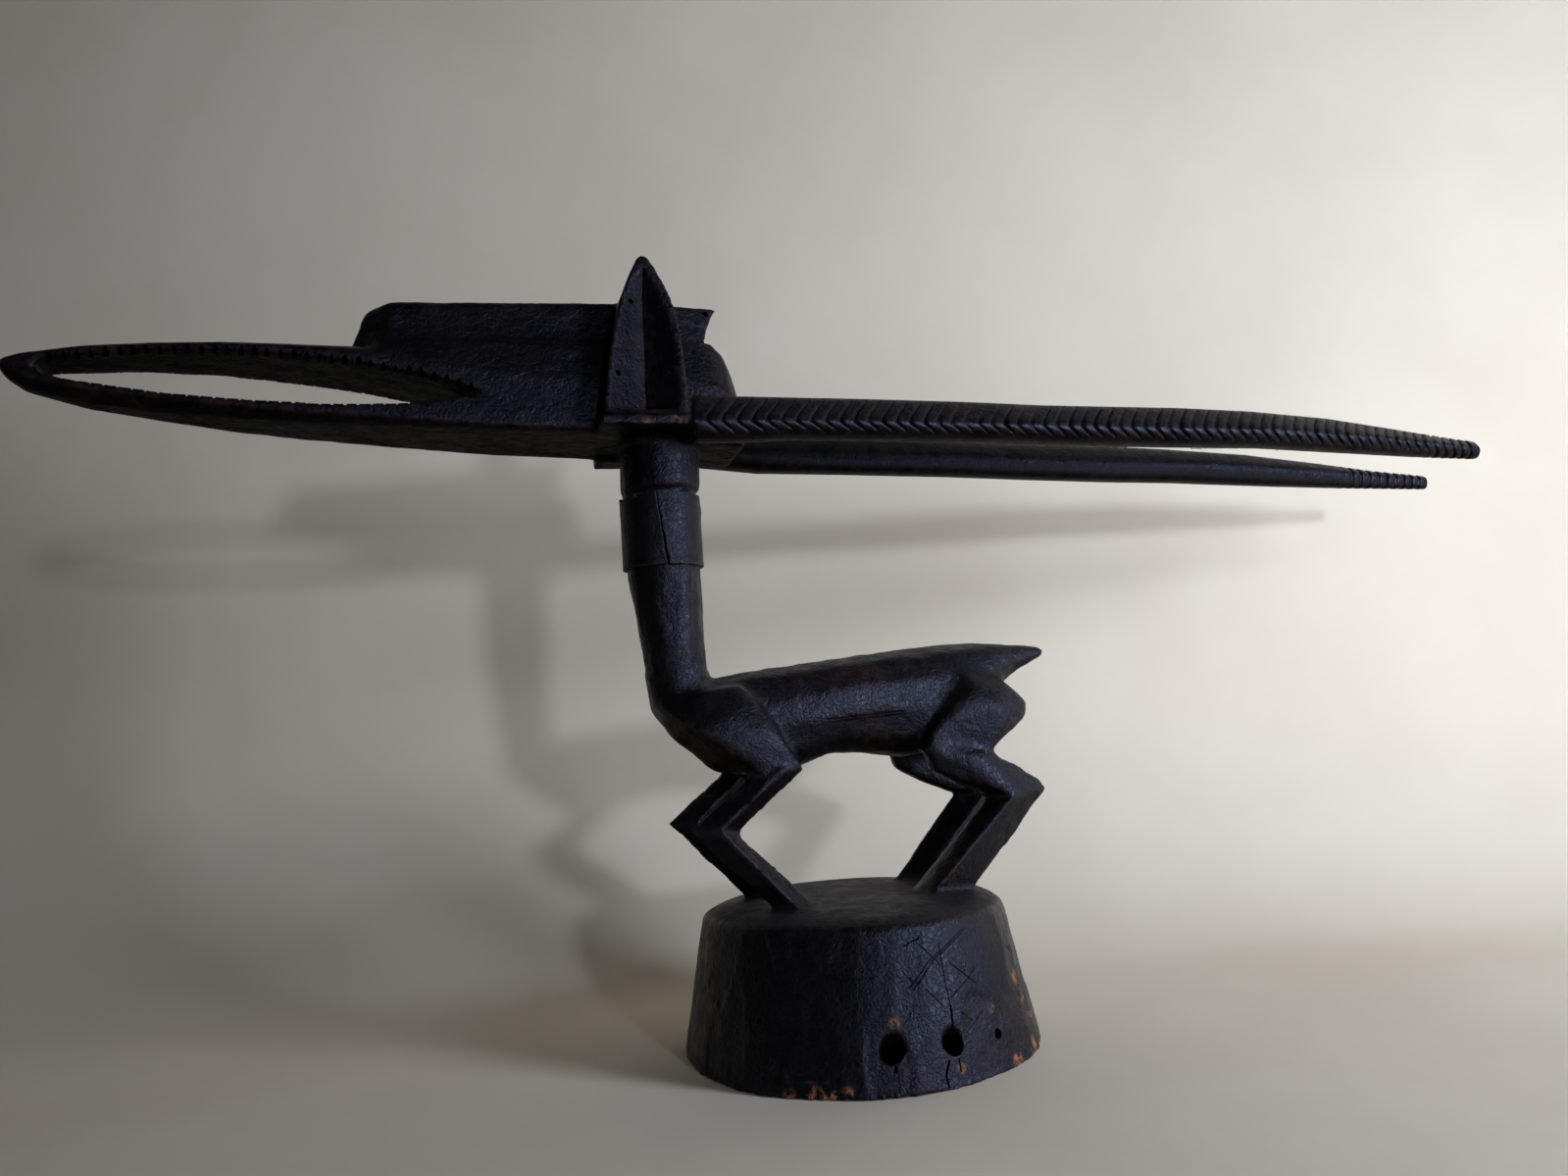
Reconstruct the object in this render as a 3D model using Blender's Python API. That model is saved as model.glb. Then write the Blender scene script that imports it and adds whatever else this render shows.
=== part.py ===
# Antelope headdress carved in dark wood: a body with zig-zag legs standing on a
# plinth, and a separate long head with horns, joined on the neck under a band.
# Lengths are in millimetres and turned to metres when a mesh is made.
# The muzzle points along -X, the horns along +X, and +Z is up.
import math

import bmesh
import bpy
from mathutils import Matrix, Vector

MM = 0.001

# Plinth: an oval cone, slightly wider than long.
BASE_LENGTH = 80.0
BASE_WIDTH = 84.0
RIM_LENGTH = 68.8
RIM_WIDTH = 71.6
RIM_HEIGHT = 58.4
PLINTH_TOP = 65.2
PLINTH_SIDES = 36

# Holes in the plinth's side: x, y, height and radius of each mouth.
LASHING_HOLES = ((-16.6, 78.6, 17.4, 5.0), (8.9, 80.0, 17.0, 4.8))
PEG_HOLE = (33.1, 73.2, 14.3, 1.8)

# Neck and head joint.
NECK_X = -79.2
NECK_RADIUS = 16.9
STUB_RADIUS = 18.5
JOINT_HEIGHT = 236.0
JOINT_GAP = 0.3
BAND_BOTTOM = 219.0
BAND_TOP = 253.0
BAND_INNER = 17.2
BAND_OUTER = 18.9
HEAD_ROLL = math.radians(-4.0)
HEAD_PIVOT_Z = 262.0

# Carved ornament.
CHEVRON_PITCH = 6.92
CHEVRON_DEPTH = 0.9
TOOTH_PITCH = 5.0
TOOTH_DEPTH = 1.7


def clearScene():
    for item in list(bpy.data.objects):
        bpy.data.objects.remove(item, do_unlink=True)
    for mesh in list(bpy.data.meshes):
        bpy.data.meshes.remove(mesh)


def makeMaterial(name, colour, roughness):
    material = bpy.data.materials.new(name)
    material.use_nodes = True
    shader = material.node_tree.nodes["Principled BSDF"]
    shader.inputs["Base Color"].default_value = (*colour, 1.0)
    shader.inputs["Roughness"].default_value = roughness
    return material


def makeCollection(name):
    group = bpy.data.collections.new(name)
    bpy.context.scene.collection.children.link(group)
    return group


def makeObject(name, points, faces, group=None):
    """One closed mesh with its faces turned outward."""
    mesh = bpy.data.meshes.new(name)
    work = bmesh.new()
    corners = [work.verts.new(Vector(point) * MM) for point in points]
    for face in faces:
        work.faces.new([corners[index] for index in face])
    bmesh.ops.recalc_face_normals(work, faces=work.faces)
    work.to_mesh(mesh)
    work.free()
    item = bpy.data.objects.new(name, mesh)
    (group or bpy.context.scene.collection).objects.link(item)
    if group:
        item.hide_render = True
        item.display_type = "WIRE"
    return item


def makeLoft(name, rings, group=None):
    """Skin a row of rings that hold the same number of points."""
    count = len(rings[0])
    points = [point for ring in rings for point in ring]
    faces = []
    for row in range(len(rings) - 1):
        for step in range(count):
            near = row * count + step
            far = row * count + (step + 1) % count
            faces.append((near, far, far + count, near + count))
    last = (len(rings) - 1) * count
    faces.append(tuple(range(count)))
    faces.append(tuple(range(last, last + count)))
    item = makeObject(name, points, faces, group)
    work = bmesh.new()
    work.from_mesh(item.data)
    bmesh.ops.triangulate(work, faces=work.faces)
    bmesh.ops.recalc_face_normals(work, faces=work.faces)
    work.to_mesh(item.data)
    work.free()
    return item


def makeHull(name, points, group=None):
    """The smallest convex solid around the points."""
    mesh = bpy.data.meshes.new(name)
    work = bmesh.new()
    for point in points:
        work.verts.new(Vector(point) * MM)
    result = bmesh.ops.convex_hull(work, input=work.verts)
    loose = [part for part in result["geom_interior"] if isinstance(part, bmesh.types.BMVert)]
    bmesh.ops.delete(work, geom=loose, context="VERTS")
    bmesh.ops.dissolve_limit(work, angle_limit=0.01, verts=work.verts, edges=work.edges)
    bmesh.ops.recalc_face_normals(work, faces=work.faces)
    work.to_mesh(mesh)
    work.free()
    item = bpy.data.objects.new(name, mesh)
    (group or bpy.context.scene.collection).objects.link(item)
    if group:
        item.hide_render = True
        item.display_type = "WIRE"
    return item


def mirrored(points):
    return [(x, -y, z) for x, y, z in points]


def bothSides(points):
    return list(points) + mirrored(points)


def rollHead(items):
    """Lean the head on the neck: its near side sits a little higher."""
    pivot = Vector((0.0, 0.0, HEAD_PIVOT_Z * MM))
    turn = Matrix.Translation(pivot) @ Matrix.Rotation(HEAD_ROLL, 4, "X") @ Matrix.Translation(-pivot)
    for item in items:
        item.data.transform(turn)


def addBoolean(item, other, operation):
    step = item.modifiers.new(other.name, "BOOLEAN")
    step.operation = operation
    step.object = other
    step.solver = "EXACT"
    return step


def interpolate(table, x):
    """Straight-line reading of a table of (x, value) rows."""
    if x <= table[0][0]:
        return table[0][1]
    for (x0, v0), (x1, v1) in zip(table, table[1:]):
        if x <= x1:
            return v0 + (v1 - v0) * (x - x0) / (x1 - x0)
    return table[-1][1]


# The body and its plinth

def makePlinth():
    rings = []
    levels = (
        (0.0, 0.0, 1.0),
        (RIM_HEIGHT, 0.0, 1.0),
        (60.6, 1.8, 0.6),
        (62.6, 8.0, 0.3),
        (64.6, 24.0, 0.1),
        (PLINTH_TOP, 42.0, 0.0),
    )
    for height, inset, roughness in levels:
        share = min(1.0, height / RIM_HEIGHT)
        length = BASE_LENGTH + (RIM_LENGTH - BASE_LENGTH) * share - inset
        width = BASE_WIDTH + (RIM_WIDTH - BASE_WIDTH) * share - inset
        ring = []
        for side in range(PLINTH_SIDES):
            angle = 2.0 * math.pi * side / PLINTH_SIDES
            wave = 0.007 * math.sin(7.0 * angle + 0.7) + 0.004 * math.sin(12.0 * angle)
            x = length * (1.0 + wave * roughness) * math.cos(angle)
            y = width * (1.0 + wave * roughness) * math.sin(angle)
            # The front left stands a little higher at the rim and a little wider at the base.
            frontLeft = max(0.0, math.cos(angle + 2.1))
            if height == 0.0:
                spread = 1.0 + 0.016 * frontLeft ** 2
                ring.append((x * spread, y * spread, 0.0))
            else:
                ring.append((x, y, height + 2.2 * frontLeft * min(1.0, length / 60.0)))
        rings.append(ring)
    return makeLoft("body_and_plinth", rings)


def makeTorso(group):
    rows = (
        (-62.0, 15.0, 168.0, 130.0),
        (-45.0, 20.0, 170.8, 124.5),
        (-24.0, 21.0, 172.4, 124.0),
        (-6.0, 21.0, 173.9, 129.4),
        (10.0, 21.0, 175.4, 128.4),
        (30.0, 21.5, 177.0, 125.0),
        (50.0, 21.0, 178.2, 126.5),
        (66.0, 17.5, 178.5, 136.0),
        (79.0, 13.0, 178.0, 150.0),
        (91.0, 8.5, 176.8, 160.0),
        (103.0, 5.6, 175.5, 166.0),
        (109.8, 4.2, 174.3, 169.0),
        (111.8, 2.4, 172.8, 170.3),
    )
    outline = ((0.0, 0.0), (0.55, 0.09), (0.9, 0.3), (1.0, 0.55), (0.8, 0.83), (0.42, 0.97), (0.0, 1.0))
    rings = []
    for x, width, top, bottom in rows:
        half = [(x, width * side, top + (bottom - top) * drop) for side, drop in outline]
        rings.append(half + [(x, -y, z) for x, y, z in reversed(half[1:-1])])
    makeLoft("torso", rings, group)


def makeChest(group):
    points = [
        (-89.6, 0.5, 158.0),
        (-80.0, 0.5, 142.0),
        (-61.5, 0.5, 125.6),
        (-87.5, 12.5, 156.6),
        (-78.0, 24.0, 148.2),
        (-70.0, 29.0, 141.6),
        (-60.5, 31.0, 134.0),
        (-49.5, 30.0, 125.6),
        (-26.0, 28.0, 123.8),
        (-29.0, 15.0, 124.5),
        (-52.0, 16.0, 124.0),
        (-50.0, 32.0, 141.0),
        (-33.0, 30.0, 134.0),
        (-62.0, 29.0, 150.0),
        (-42.0, 26.5, 151.0),
        (-72.0, 18.5, 162.0),
        (-50.0, 19.5, 164.5),
        (-86.5, 10.5, 161.5),
    ]
    makeHull("chest", bothSides(points), group)


def makeHaunch(group):
    points = [
        (58.0, 16.0, 165.0),
        (81.0, 9.0, 160.0),
        (60.0, 25.0, 158.5),
        (78.0, 21.0, 158.0),
        (52.0, 28.0, 150.0),
        (68.0, 31.0, 147.0),
        (42.0, 28.0, 142.0),
        (90.5, 21.0, 147.0),
        (88.0, 22.0, 139.5),
        (85.0, 10.0, 148.0),
        (72.0, 30.0, 136.0),
        (79.0, 25.0, 135.0),
        (63.0, 28.0, 124.8),
        (61.0, 12.0, 125.0),
        (29.0, 26.0, 127.5),
        (33.0, 12.0, 127.0),
        (32.0, 27.0, 133.5),
    ]
    makeHull("near_haunch", mirrored(points), group)
    makeHull("far_haunch", points, group)


def legRing(front, middle, back, centre, half):
    """A diamond: front ridge, outer ridge, back ridge, inner ridge."""
    return [
        (front[0], centre, front[1]),
        (middle[0], centre + half, middle[1]),
        (back[0], centre, back[1]),
        (middle[0], centre - half, middle[1]),
    ]


def makeLegs(group):
    front = [
        legRing((-47.0, 128.0), (-38.0, 126.0), (-26.5, 124.3), 25.0, 8.0),
        legRing((-80.5, 103.0), (-67.5, 102.5), (-57.5, 99.8), 22.0, 8.5),
        legRing((-38.0, 58.0), (-28.0, 58.0), (-16.0, 58.0), 25.0, 8.5),
    ]
    # The near hind shin is broader in front than the far one, which is a little deeper behind.
    farHind = [
        legRing((68.0, 105.0), (82.0, 105.5), (97.6, 106.0), 22.5, 10.5),
        legRing((21.5, 56.0), (33.5, 56.0), (49.0, 56.0), 20.5, 10.5),
    ]
    nearHind = [
        legRing((63.5, 105.0), (71.5, 105.5), (95.4, 106.0), 22.5, 10.5),
        legRing((13.5, 56.0), (16.5, 56.0), (46.0, 56.0), 20.5, 10.5),
    ]
    # A thigh's outer ridge runs down from the haunch to the shin's outer ridge.
    thigh = [
        (35.5, 17.0, 119.2), (35.5, 25.0, 119.2), (34.0, 17.0, 131.0), (34.0, 28.0, 131.0),
        (50.0, 17.0, 111.2), (50.0, 24.5, 111.2), (64.0, 17.0, 105.0), (64.0, 23.5, 105.0),
        (54.6, 32.0, 124.3), (67.0, 32.6, 107.4), (72.0, 32.6, 105.6), (72.0, 13.0, 105.6),
        (95.0, 22.5, 106.0), (92.8, 22.5, 110.0), (83.0, 22.5, 117.0), (82.0, 13.0, 106.5),
        (62.0, 17.0, 126.0), (64.0, 28.0, 126.0),
    ]
    makeLoft("far_front_leg", front, group)
    makeLoft("near_front_leg", [mirrored(ring) for ring in front], group)
    makeLoft("far_hind_leg", farHind, group)
    makeLoft("near_hind_leg", [mirrored(ring) for ring in nearHind], group)
    makeHull("far_thigh", thigh, group)
    makeHull("near_thigh", mirrored(thigh), group)


def makeNeck(group):
    rows = (
        (150.0, -70.0, 10.0, 10.0),
        (158.0, -75.0, 14.6, 14.4),
        (172.0, -76.0, 14.8, 14.8),
        (193.0, -77.6, 15.6, 15.5),
        (218.0, NECK_X, NECK_RADIUS, NECK_RADIUS),
        (JOINT_HEIGHT - 0.5 * JOINT_GAP, NECK_X, NECK_RADIUS, NECK_RADIUS),
    )
    rings = []
    for height, centre, length, width in rows:
        ring = []
        for side in range(20):
            angle = math.pi * side / 10.0
            ring.append((centre + length * math.cos(angle), width * math.sin(angle), height))
        rings.append(ring)
    makeLoft("neck", rings, group)


def drillRing(centre, direction, radius, sides):
    """A circle around a point, square to the drilling direction."""
    turn = Vector(direction).to_track_quat("Z", "Y").to_matrix()
    ring = []
    for side in range(sides):
        angle = 2.0 * math.pi * side / sides
        offset = turn @ Vector((radius * math.cos(angle), radius * math.sin(angle), 0.0))
        ring.append(tuple(Vector(centre) + offset))
    return ring


def makePlinthHoles(group):
    """Lashing holes slant from the side down to the underside, on both sides."""
    for index, (x, y, height, radius) in enumerate(LASHING_HOLES):
        for side in (1.0, -1.0):
            mouth = Vector((x, y * side, height))
            drill = (Vector((x, y * side, 0.0)).normalized() + Vector((0.0, 0.0, 0.8))).normalized()
            start = mouth + drill * 14.0
            end = mouth - drill * 44.0
            rings = [drillRing(start, drill, radius, 12), drillRing(end, drill, radius, 12)]
            makeLoft("lashing_hole_%d_%d" % (index, side > 0.0), rings, group)
    x, y, height, radius = PEG_HOLE
    mouth = Vector((x, -y, height))
    out = Vector((x, -y, 0.0)).normalized()
    rings = [drillRing(mouth + out * 5.0, out, radius, 8), drillRing(mouth - out * 9.0, out, radius, 8)]
    makeLoft("peg_hole", rings, group)


def makeBody(material):
    forms = makeCollection("body_forms")
    cuts = makeCollection("body_cuts")
    body = makePlinth()
    makeTorso(forms)
    makeChest(forms)
    makeHaunch(forms)
    makeLegs(forms)
    makeNeck(forms)
    makePlinthHoles(cuts)
    for form in forms.objects:
        addBoolean(body, form, "UNION")
    for cut in cuts.objects:
        addBoolean(body, cut, "DIFFERENCE")
    body.data.materials.append(material)
    return body


# The head, its ears and its horns

def makeSkull():
    rows = (
        # x, top half width, half width, top, upper side, lower side, bottom, bottom half width
        (-341.6, 2.4, 4.0, 309.8, 309.2, 308.4, 307.8, 2.4),
        (-339.0, 3.8, 6.4, 311.0, 309.8, 305.2, 303.6, 3.0),
        (-332.5, 5.0, 8.8, 312.8, 310.8, 301.6, 298.8, 3.5),
        (-311.0, 7.5, 11.6, 315.4, 313.3, 296.0, 292.4, 4.5),
        (-286.0, 9.5, 14.0, 316.6, 314.6, 291.6, 288.6, 6.5),
        (-257.0, 12.0, 16.7, 316.9, 314.8, 287.6, 284.8, 9.5),
        (-226.0, 13.5, 18.7, 316.2, 313.4, 284.6, 282.2, 12.5),
        (-205.0, 15.0, 19.7, 315.4, 312.0, 282.9, 281.2, 14.5),
        (-180.0, 17.5, 20.8, 319.0, 308.0, 281.0, 279.6, 17.0),
        (-150.0, 18.2, 21.6, 319.5, 303.0, 279.0, 278.0, 19.0),
        (-110.0, 18.4, 22.2, 320.0, 300.0, 277.8, 276.6, 20.5),
        (-80.0, 18.4, 22.2, 320.0, 300.0, 275.8, 274.4, 20.5),
        (-60.0, 17.0, 21.6, 322.0, 300.0, 273.8, 272.6, 20.0),
        (-52.5, 14.0, 20.5, 322.5, 299.0, 273.2, 272.0, 19.0),
        (-46.5, 12.0, 19.0, 317.0, 296.0, 272.8, 271.4, 17.5),
        (-42.6, 10.5, 17.5, 306.5, 291.0, 272.4, 271.2, 16.5),
        (-40.5, 9.0, 15.0, 296.5, 286.0, 272.8, 271.6, 14.0),
    )
    rings = []
    for x, topHalf, half, top, upper, lower, bottom, bottomHalf in rows:
        side = [(x, topHalf, top), (x, half, upper), (x, half, lower), (x, bottomHalf, bottom)]
        rings.append(side + [(x, -y, z) for x, y, z in reversed(side)])
    return makeLoft("head", rings)


def makeCrest(group):
    rows = (
        # height, nose x, side x, side half width, rear x, rear half width
        (308.0, -211.0, -200.0, 17.0, -58.0, 13.0),
        (316.5, -211.5, -198.0, 17.6, -56.0, 12.0),
        (324.0, -208.5, -194.8, 16.4, -54.5, 10.5),
        (330.0, -206.4, -194.4, 15.8, -53.0, 9.5),
        (333.6, -205.0, -194.2, 15.2, -48.8, 8.0),
        (335.8, -203.6, -193.8, 14.4, -46.8, 7.5),
        (336.9, -201.6, -192.6, 13.0, -49.0, 7.0),
    )
    rings = []
    for height, nose, front, half, rear, rearHalf in rows:
        rise = 0.0 if height < 331.0 else 0.039
        side = [(nose, 4.0), (front, half), (-82.0, half), (rear, rearHalf)]
        ring = [(x, y, height + (x + 200.0) * rise) for x, y in side]
        rings.append(ring + [(x, -y, z) for x, y, z in reversed(ring)])
    makeLoft("crest", rings, group)


def makeEar(name, sign, face, foot, shelf, forms):
    """A pointed leaf on a small shelf, with a V-shaped hollow in its outer face."""
    outline = (
        (-108.2, foot), (-107.8, 284.0), (-105.1, 302.3), (-103.0, 312.6), (-97.1, 335.0),
        (-92.0, 347.5), (-88.0, 355.6), (-86.2, 357.6), (-82.6, 357.2), (-79.8, 352.0),
        (-75.0, 341.0), (-72.4, 332.0), (-70.8, 320.0), (-70.1, 305.7), (-70.3, foot),
    )
    outer = [(x, sign * (face - 0.085 * (z - 280.0)), z) for x, z in outline]
    inner = [(x, sign * (13.5 + 0.3 * max(0.0, z - 338.0)), z) for x, z in outline]
    ear = makeLoft(name, [inner, outer], forms)
    left, right, low, high, reach = shelf
    corners = ((left, low), (left, high), (right, high + 0.3), (right, low + 0.2))
    rings = [[(x, sign * depth, z) for x, z in corners] for depth in (14.0, reach)]
    makeLoft(name + "_shelf", rings, forms)
    return ear


def makeEarHollow(name, sign, base, group):
    rows = (
        # height, left edge, valley, right edge, depth
        (283.0, -104.8, -87.4, -74.6, 10.5),
        (298.0, -104.0, -87.0, -73.6, 10.0),
        (314.0, -101.0, -86.2, -73.4, 9.0),
        (328.0, -97.6, -86.0, -75.2, 7.5),
        (338.0, -94.6, -85.8, -78.8, 5.5),
        (346.0, -90.6, -85.4, -81.8, 3.0),
        (351.5, -86.4, -85.2, -84.2, 0.6),
    )
    rings = []
    for height, left, valley, right, depth in rows:
        face = base - 0.085 * (height - 280.0)
        # The wedge is drawn past the ear's face, with the same slopes.
        reach = 1.8
        ring = [
            (valley + (left - valley) * reach, face - depth + depth * reach),
            (valley, face - depth),
            (valley + (right - valley) * reach, face - depth + depth * reach),
        ]
        rings.append([(x, sign * y, height) for x, y in ring])
    return makeLoft(name, rings, group)


def makeHorn(name, sign, tipX, root, group):
    top = ((-78.0, 286.0), (-70.0, 291.6), (15.0, 290.9), (66.0, 290.0), (109.0, 288.6), (185.0, 287.6),
           (226.0, 286.2), (278.0, 283.0), (328.0, 277.4), (367.0, 272.6), (412.0, 268.6))
    bottom = ((-78.0, 276.5), (-70.0, root), (-50.0, root), (-22.0, 272.4), (13.0, 272.0), (84.0, 270.8),
              (128.0, 269.4), (180.0, 268.2), (230.0, 267.6), (288.0, 265.2), (335.0, 263.4), (412.0, 261.6))
    ridge = ((-70.0, 278.4), (10.0, 278.2), (100.0, 276.6), (176.0, 275.2), (235.0, 274.6),
             (300.0, 272.0), (350.0, 269.0), (412.0, 264.8))
    centre = ((-70.0, 26.0), (14.0, 27.4), (108.0, 29.4), (184.0, 31.8), (233.0, 32.8),
              (289.0, 32.0), (331.0, 31.0), (412.0, 30.0))
    inward = ((-70.0, 10.5), (-36.0, 9.8), (10.0, 7.8), (100.0, 7.8), (240.0, 7.3), (300.0, 6.4),
              (350.0, 4.8), (412.0, 2.9))
    thick = ((-78.0, 5.0), (-70.0, 9.2), (100.0, 9.2), (240.0, 8.6), (300.0, 7.6), (350.0, 5.6), (412.0, 3.4))
    rings = []
    steps = int((tipX + 78.0) / CHEVRON_PITCH) * 2
    for step in range(steps + 1):
        along = -78.0 + 0.5 * step * CHEVRON_PITCH
        groove = CHEVRON_DEPTH if step % 2 else 0.0
        around = groove if along > 330.0 else 0.0
        slant = 0.95 * (interpolate(top, along) - interpolate(ridge, along))
        lean = slant * min(1.0, (along + 78.0) / 14.0, (tipX - along) / 28.0)
        over = along + lean
        under = along + 0.8 * lean
        half = interpolate(thick, along)
        middle = interpolate(centre, along)
        upperHalf = interpolate(thick, over)
        upperMiddle = interpolate(centre, over)
        ring = [
            (along, middle + half - groove, interpolate(ridge, along)),
            (under, middle + 0.4 * half - 0.4 * groove, interpolate(bottom, under) + 0.5 * groove),
            (under, middle - 0.55 * half, interpolate(bottom, under) + 0.5 * around),
            (over, upperMiddle - interpolate(inward, over) + 0.6 * around, interpolate(ridge, over) + 1.5),
            (over, upperMiddle - 0.16 * upperHalf, interpolate(top, over) - 0.5 * around),
            (over, upperMiddle + 0.16 * upperHalf, interpolate(top, over) - 0.5 * groove),
        ]
        rings.append([(x, sign * y, z) for x, y, z in ring])
    makeLoft(name, rings, group)


def makeMouth(group):
    upper = ((-327.5, 306.5), (-325.0, 308.5), (-310.0, 310.0), (-298.0, 311.2), (-283.0, 311.7),
             (-263.0, 311.6), (-244.0, 310.4), (-227.0, 308.8), (-205.0, 306.0), (-190.0, 303.2),
             (-178.0, 300.6), (-157.0, 294.0))
    lower = ((-327.5, 304.6), (-325.0, 303.2), (-311.0, 299.8), (-282.0, 294.4), (-249.0, 290.8),
             (-214.0, 288.9), (-190.0, 289.4), (-159.0, 292.8), (-157.0, 293.4))
    width = ((-340.0, 5.0), (-331.0, 9.0), (-310.0, 11.6), (-285.0, 14.0), (-256.0, 16.7),
             (-226.0, 18.7), (-205.0, 19.7), (-180.0, 20.8), (-150.0, 21.6))
    rings = []
    steps = int(170.0 / TOOTH_PITCH) * 2
    for step in range(steps + 1):
        x = -327.5 + 170.0 * step / steps
        flare = TOOTH_DEPTH if step % 2 else 0.0
        half = interpolate(width, x)
        high = interpolate(upper, x)
        low = interpolate(lower, x)
        side = [
            (x, half + 3.0, high + 2.6 * flare),
            (x, half - 1.8, high),
            (x, half - 1.8, low),
            (x, half + 3.0, low - 2.6 * flare),
        ]
        near = [side[1], side[0], side[3], side[2]]
        rings.append(near + [(x, -y, z) for x, y, z in reversed(near)])
    return makeLoft("mouth", rings, group)


def makeStub(group):
    rows = (
        (JOINT_HEIGHT + 0.5 * JOINT_GAP, NECK_RADIUS, NECK_X),
        (BAND_TOP + 1.4, NECK_RADIUS, NECK_X),
        (BAND_TOP + 1.8, STUB_RADIUS, NECK_X + 0.6),
        (275.0, STUB_RADIUS, NECK_X + 1.2),
    )
    rings = []
    for height, radius, centre in rows:
        ring = []
        for side in range(20):
            angle = math.pi * side / 10.0
            ring.append((centre + radius * math.cos(angle), radius * math.sin(angle), height))
        rings.append(ring)
    makeLoft("neck_stub", rings, group)


def makeHead(material):
    forms = makeCollection("head_forms")
    cuts = makeCollection("head_cuts")
    head = makeSkull()
    addBoolean(head, makeMouth(cuts), "DIFFERENCE")
    makeCrest(forms)
    nearEar = makeEar("near_ear", -1.0, 34.6, 277.5, (-109.6, -71.6, 275.2, 279.4, 36.4), forms)
    addBoolean(nearEar, makeEarHollow("near_ear_hollow", -1.0, 34.6, cuts), "DIFFERENCE")
    farEar = makeEar("far_ear", 1.0, 29.0, 280.2, (-104.4, -71.6, 273.8, 281.0, 28.2), forms)
    addBoolean(farEar, makeEarHollow("far_ear_hollow", 1.0, 29.0, cuts), "DIFFERENCE")
    makeHorn("near_horn", -1.0, 382.5, 271.0, forms)
    makeHorn("far_horn", 1.0, 409.0, 275.4, forms)
    rollHead([head] + list(forms.objects) + list(cuts.objects))
    makeStub(forms)
    for form in forms.objects:
        addBoolean(head, form, "UNION")
    head.data.materials.append(material)
    return head


# The hide collar

def makeBand(material):
    rings = []
    steps = 30
    for step in range(steps + 1):
        share = step / steps
        ring = []
        for level in range(4):
            climb = level / 3.0
            seam = -94.5 - 12.0 * climb
            gap = 3.6 - 2.2 * climb
            angle = math.radians(seam + 0.5 * gap + (360.0 - gap) * share)
            top = BAND_TOP + 0.5 * math.sin(angle + 0.6) - 0.5
            height = BAND_BOTTOM + (top - BAND_BOTTOM) * climb
            swell = (0.0, 0.15, 0.3, 0.0)[level]
            ring.append((angle, height, swell))
        outer = [(BAND_OUTER + swell, angle, height) for angle, height, swell in ring]
        inner = [(BAND_INNER, angle, height) for angle, height, swell in reversed(ring)]
        rings.append([(NECK_X + radius * math.cos(angle), radius * math.sin(angle), height)
                      for radius, angle, height in outer + inner])
    band = makeLoft("neck_band", rings)
    band.data.materials.append(material)
    return band


clearScene()
darkWood = makeMaterial("patinated_dark_wood", (0.030, 0.024, 0.022), 0.42)
headWood = makeMaterial("patinated_head_wood", (0.028, 0.022, 0.021), 0.42)
darkHide = makeMaterial("dark_hide", (0.034, 0.026, 0.022), 0.5)
makeBody(darkWood)
makeHead(headWood)
makeBand(darkHide)
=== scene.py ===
import math

import bmesh
import bpy
import numpy as np
from mathutils import Matrix, Vector, noise
from mathutils.kdtree import KDTree


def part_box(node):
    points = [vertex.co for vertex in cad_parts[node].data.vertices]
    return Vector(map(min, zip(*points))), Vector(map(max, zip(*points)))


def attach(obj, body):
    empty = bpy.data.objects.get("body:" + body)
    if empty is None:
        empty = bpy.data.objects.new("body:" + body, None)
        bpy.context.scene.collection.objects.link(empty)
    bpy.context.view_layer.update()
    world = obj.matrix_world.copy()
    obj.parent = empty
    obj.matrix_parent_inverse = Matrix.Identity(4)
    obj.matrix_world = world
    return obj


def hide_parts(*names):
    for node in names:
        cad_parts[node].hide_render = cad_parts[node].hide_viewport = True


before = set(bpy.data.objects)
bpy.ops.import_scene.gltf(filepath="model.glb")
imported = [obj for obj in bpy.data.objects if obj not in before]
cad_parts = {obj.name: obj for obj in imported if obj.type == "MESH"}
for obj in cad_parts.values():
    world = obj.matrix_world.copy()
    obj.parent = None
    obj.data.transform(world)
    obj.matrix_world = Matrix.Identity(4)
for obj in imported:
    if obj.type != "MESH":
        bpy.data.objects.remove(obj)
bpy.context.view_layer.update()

# Sizes are written in millimetres and turned to metres by mm.
mm = 0.001
print("frame loaded:", sorted(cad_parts))


# The photograph's view

view = {
    "turn": 18.0,             # the object is turned this far from the camera's axis, degrees
    "pitch": 6.1,
    "roll": 4.0,
    "place": (-21.0, -540.0, 151.5),
    "focal": 1160.0,          # in pixels of a 1599 wide picture
    "width": 1599.0,
}


def turnToObject(point):
    # from axes set square to the camera to the object's own axes
    angle = math.radians(view["turn"])
    x, y, z = point
    return Vector((math.cos(angle) * x + math.sin(angle) * y, -math.sin(angle) * x + math.cos(angle) * y, z))


def makeCamera():
    pitch, roll = math.radians(view["pitch"]), math.radians(view["roll"])
    ahead = Vector((0.0, math.cos(pitch), math.sin(pitch)))
    level = Vector((1.0, 0.0, 0.0))
    upright = Vector((0.0, -math.sin(pitch), math.cos(pitch)))
    right = math.cos(roll) * level - math.sin(roll) * upright
    up = math.sin(roll) * level + math.cos(roll) * upright
    axes = Matrix((turnToObject(right), turnToObject(up), -turnToObject(ahead))).transposed().to_4x4()
    axes.translation = turnToObject(view["place"]) * mm
    bpy.ops.object.camera_add()
    camera = bpy.context.object
    camera.name = "photoCamera"
    camera.matrix_world = axes
    camera.data.sensor_width = 36.0
    camera.data.lens = view["focal"] / view["width"] * 36.0
    camera.data.clip_start = 0.01
    bpy.context.scene.camera = camera


makeCamera()
print("camera placed")


# Small tools for shaping

def deselectAll():
    bpy.ops.object.select_all(action="DESELECT")


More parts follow.
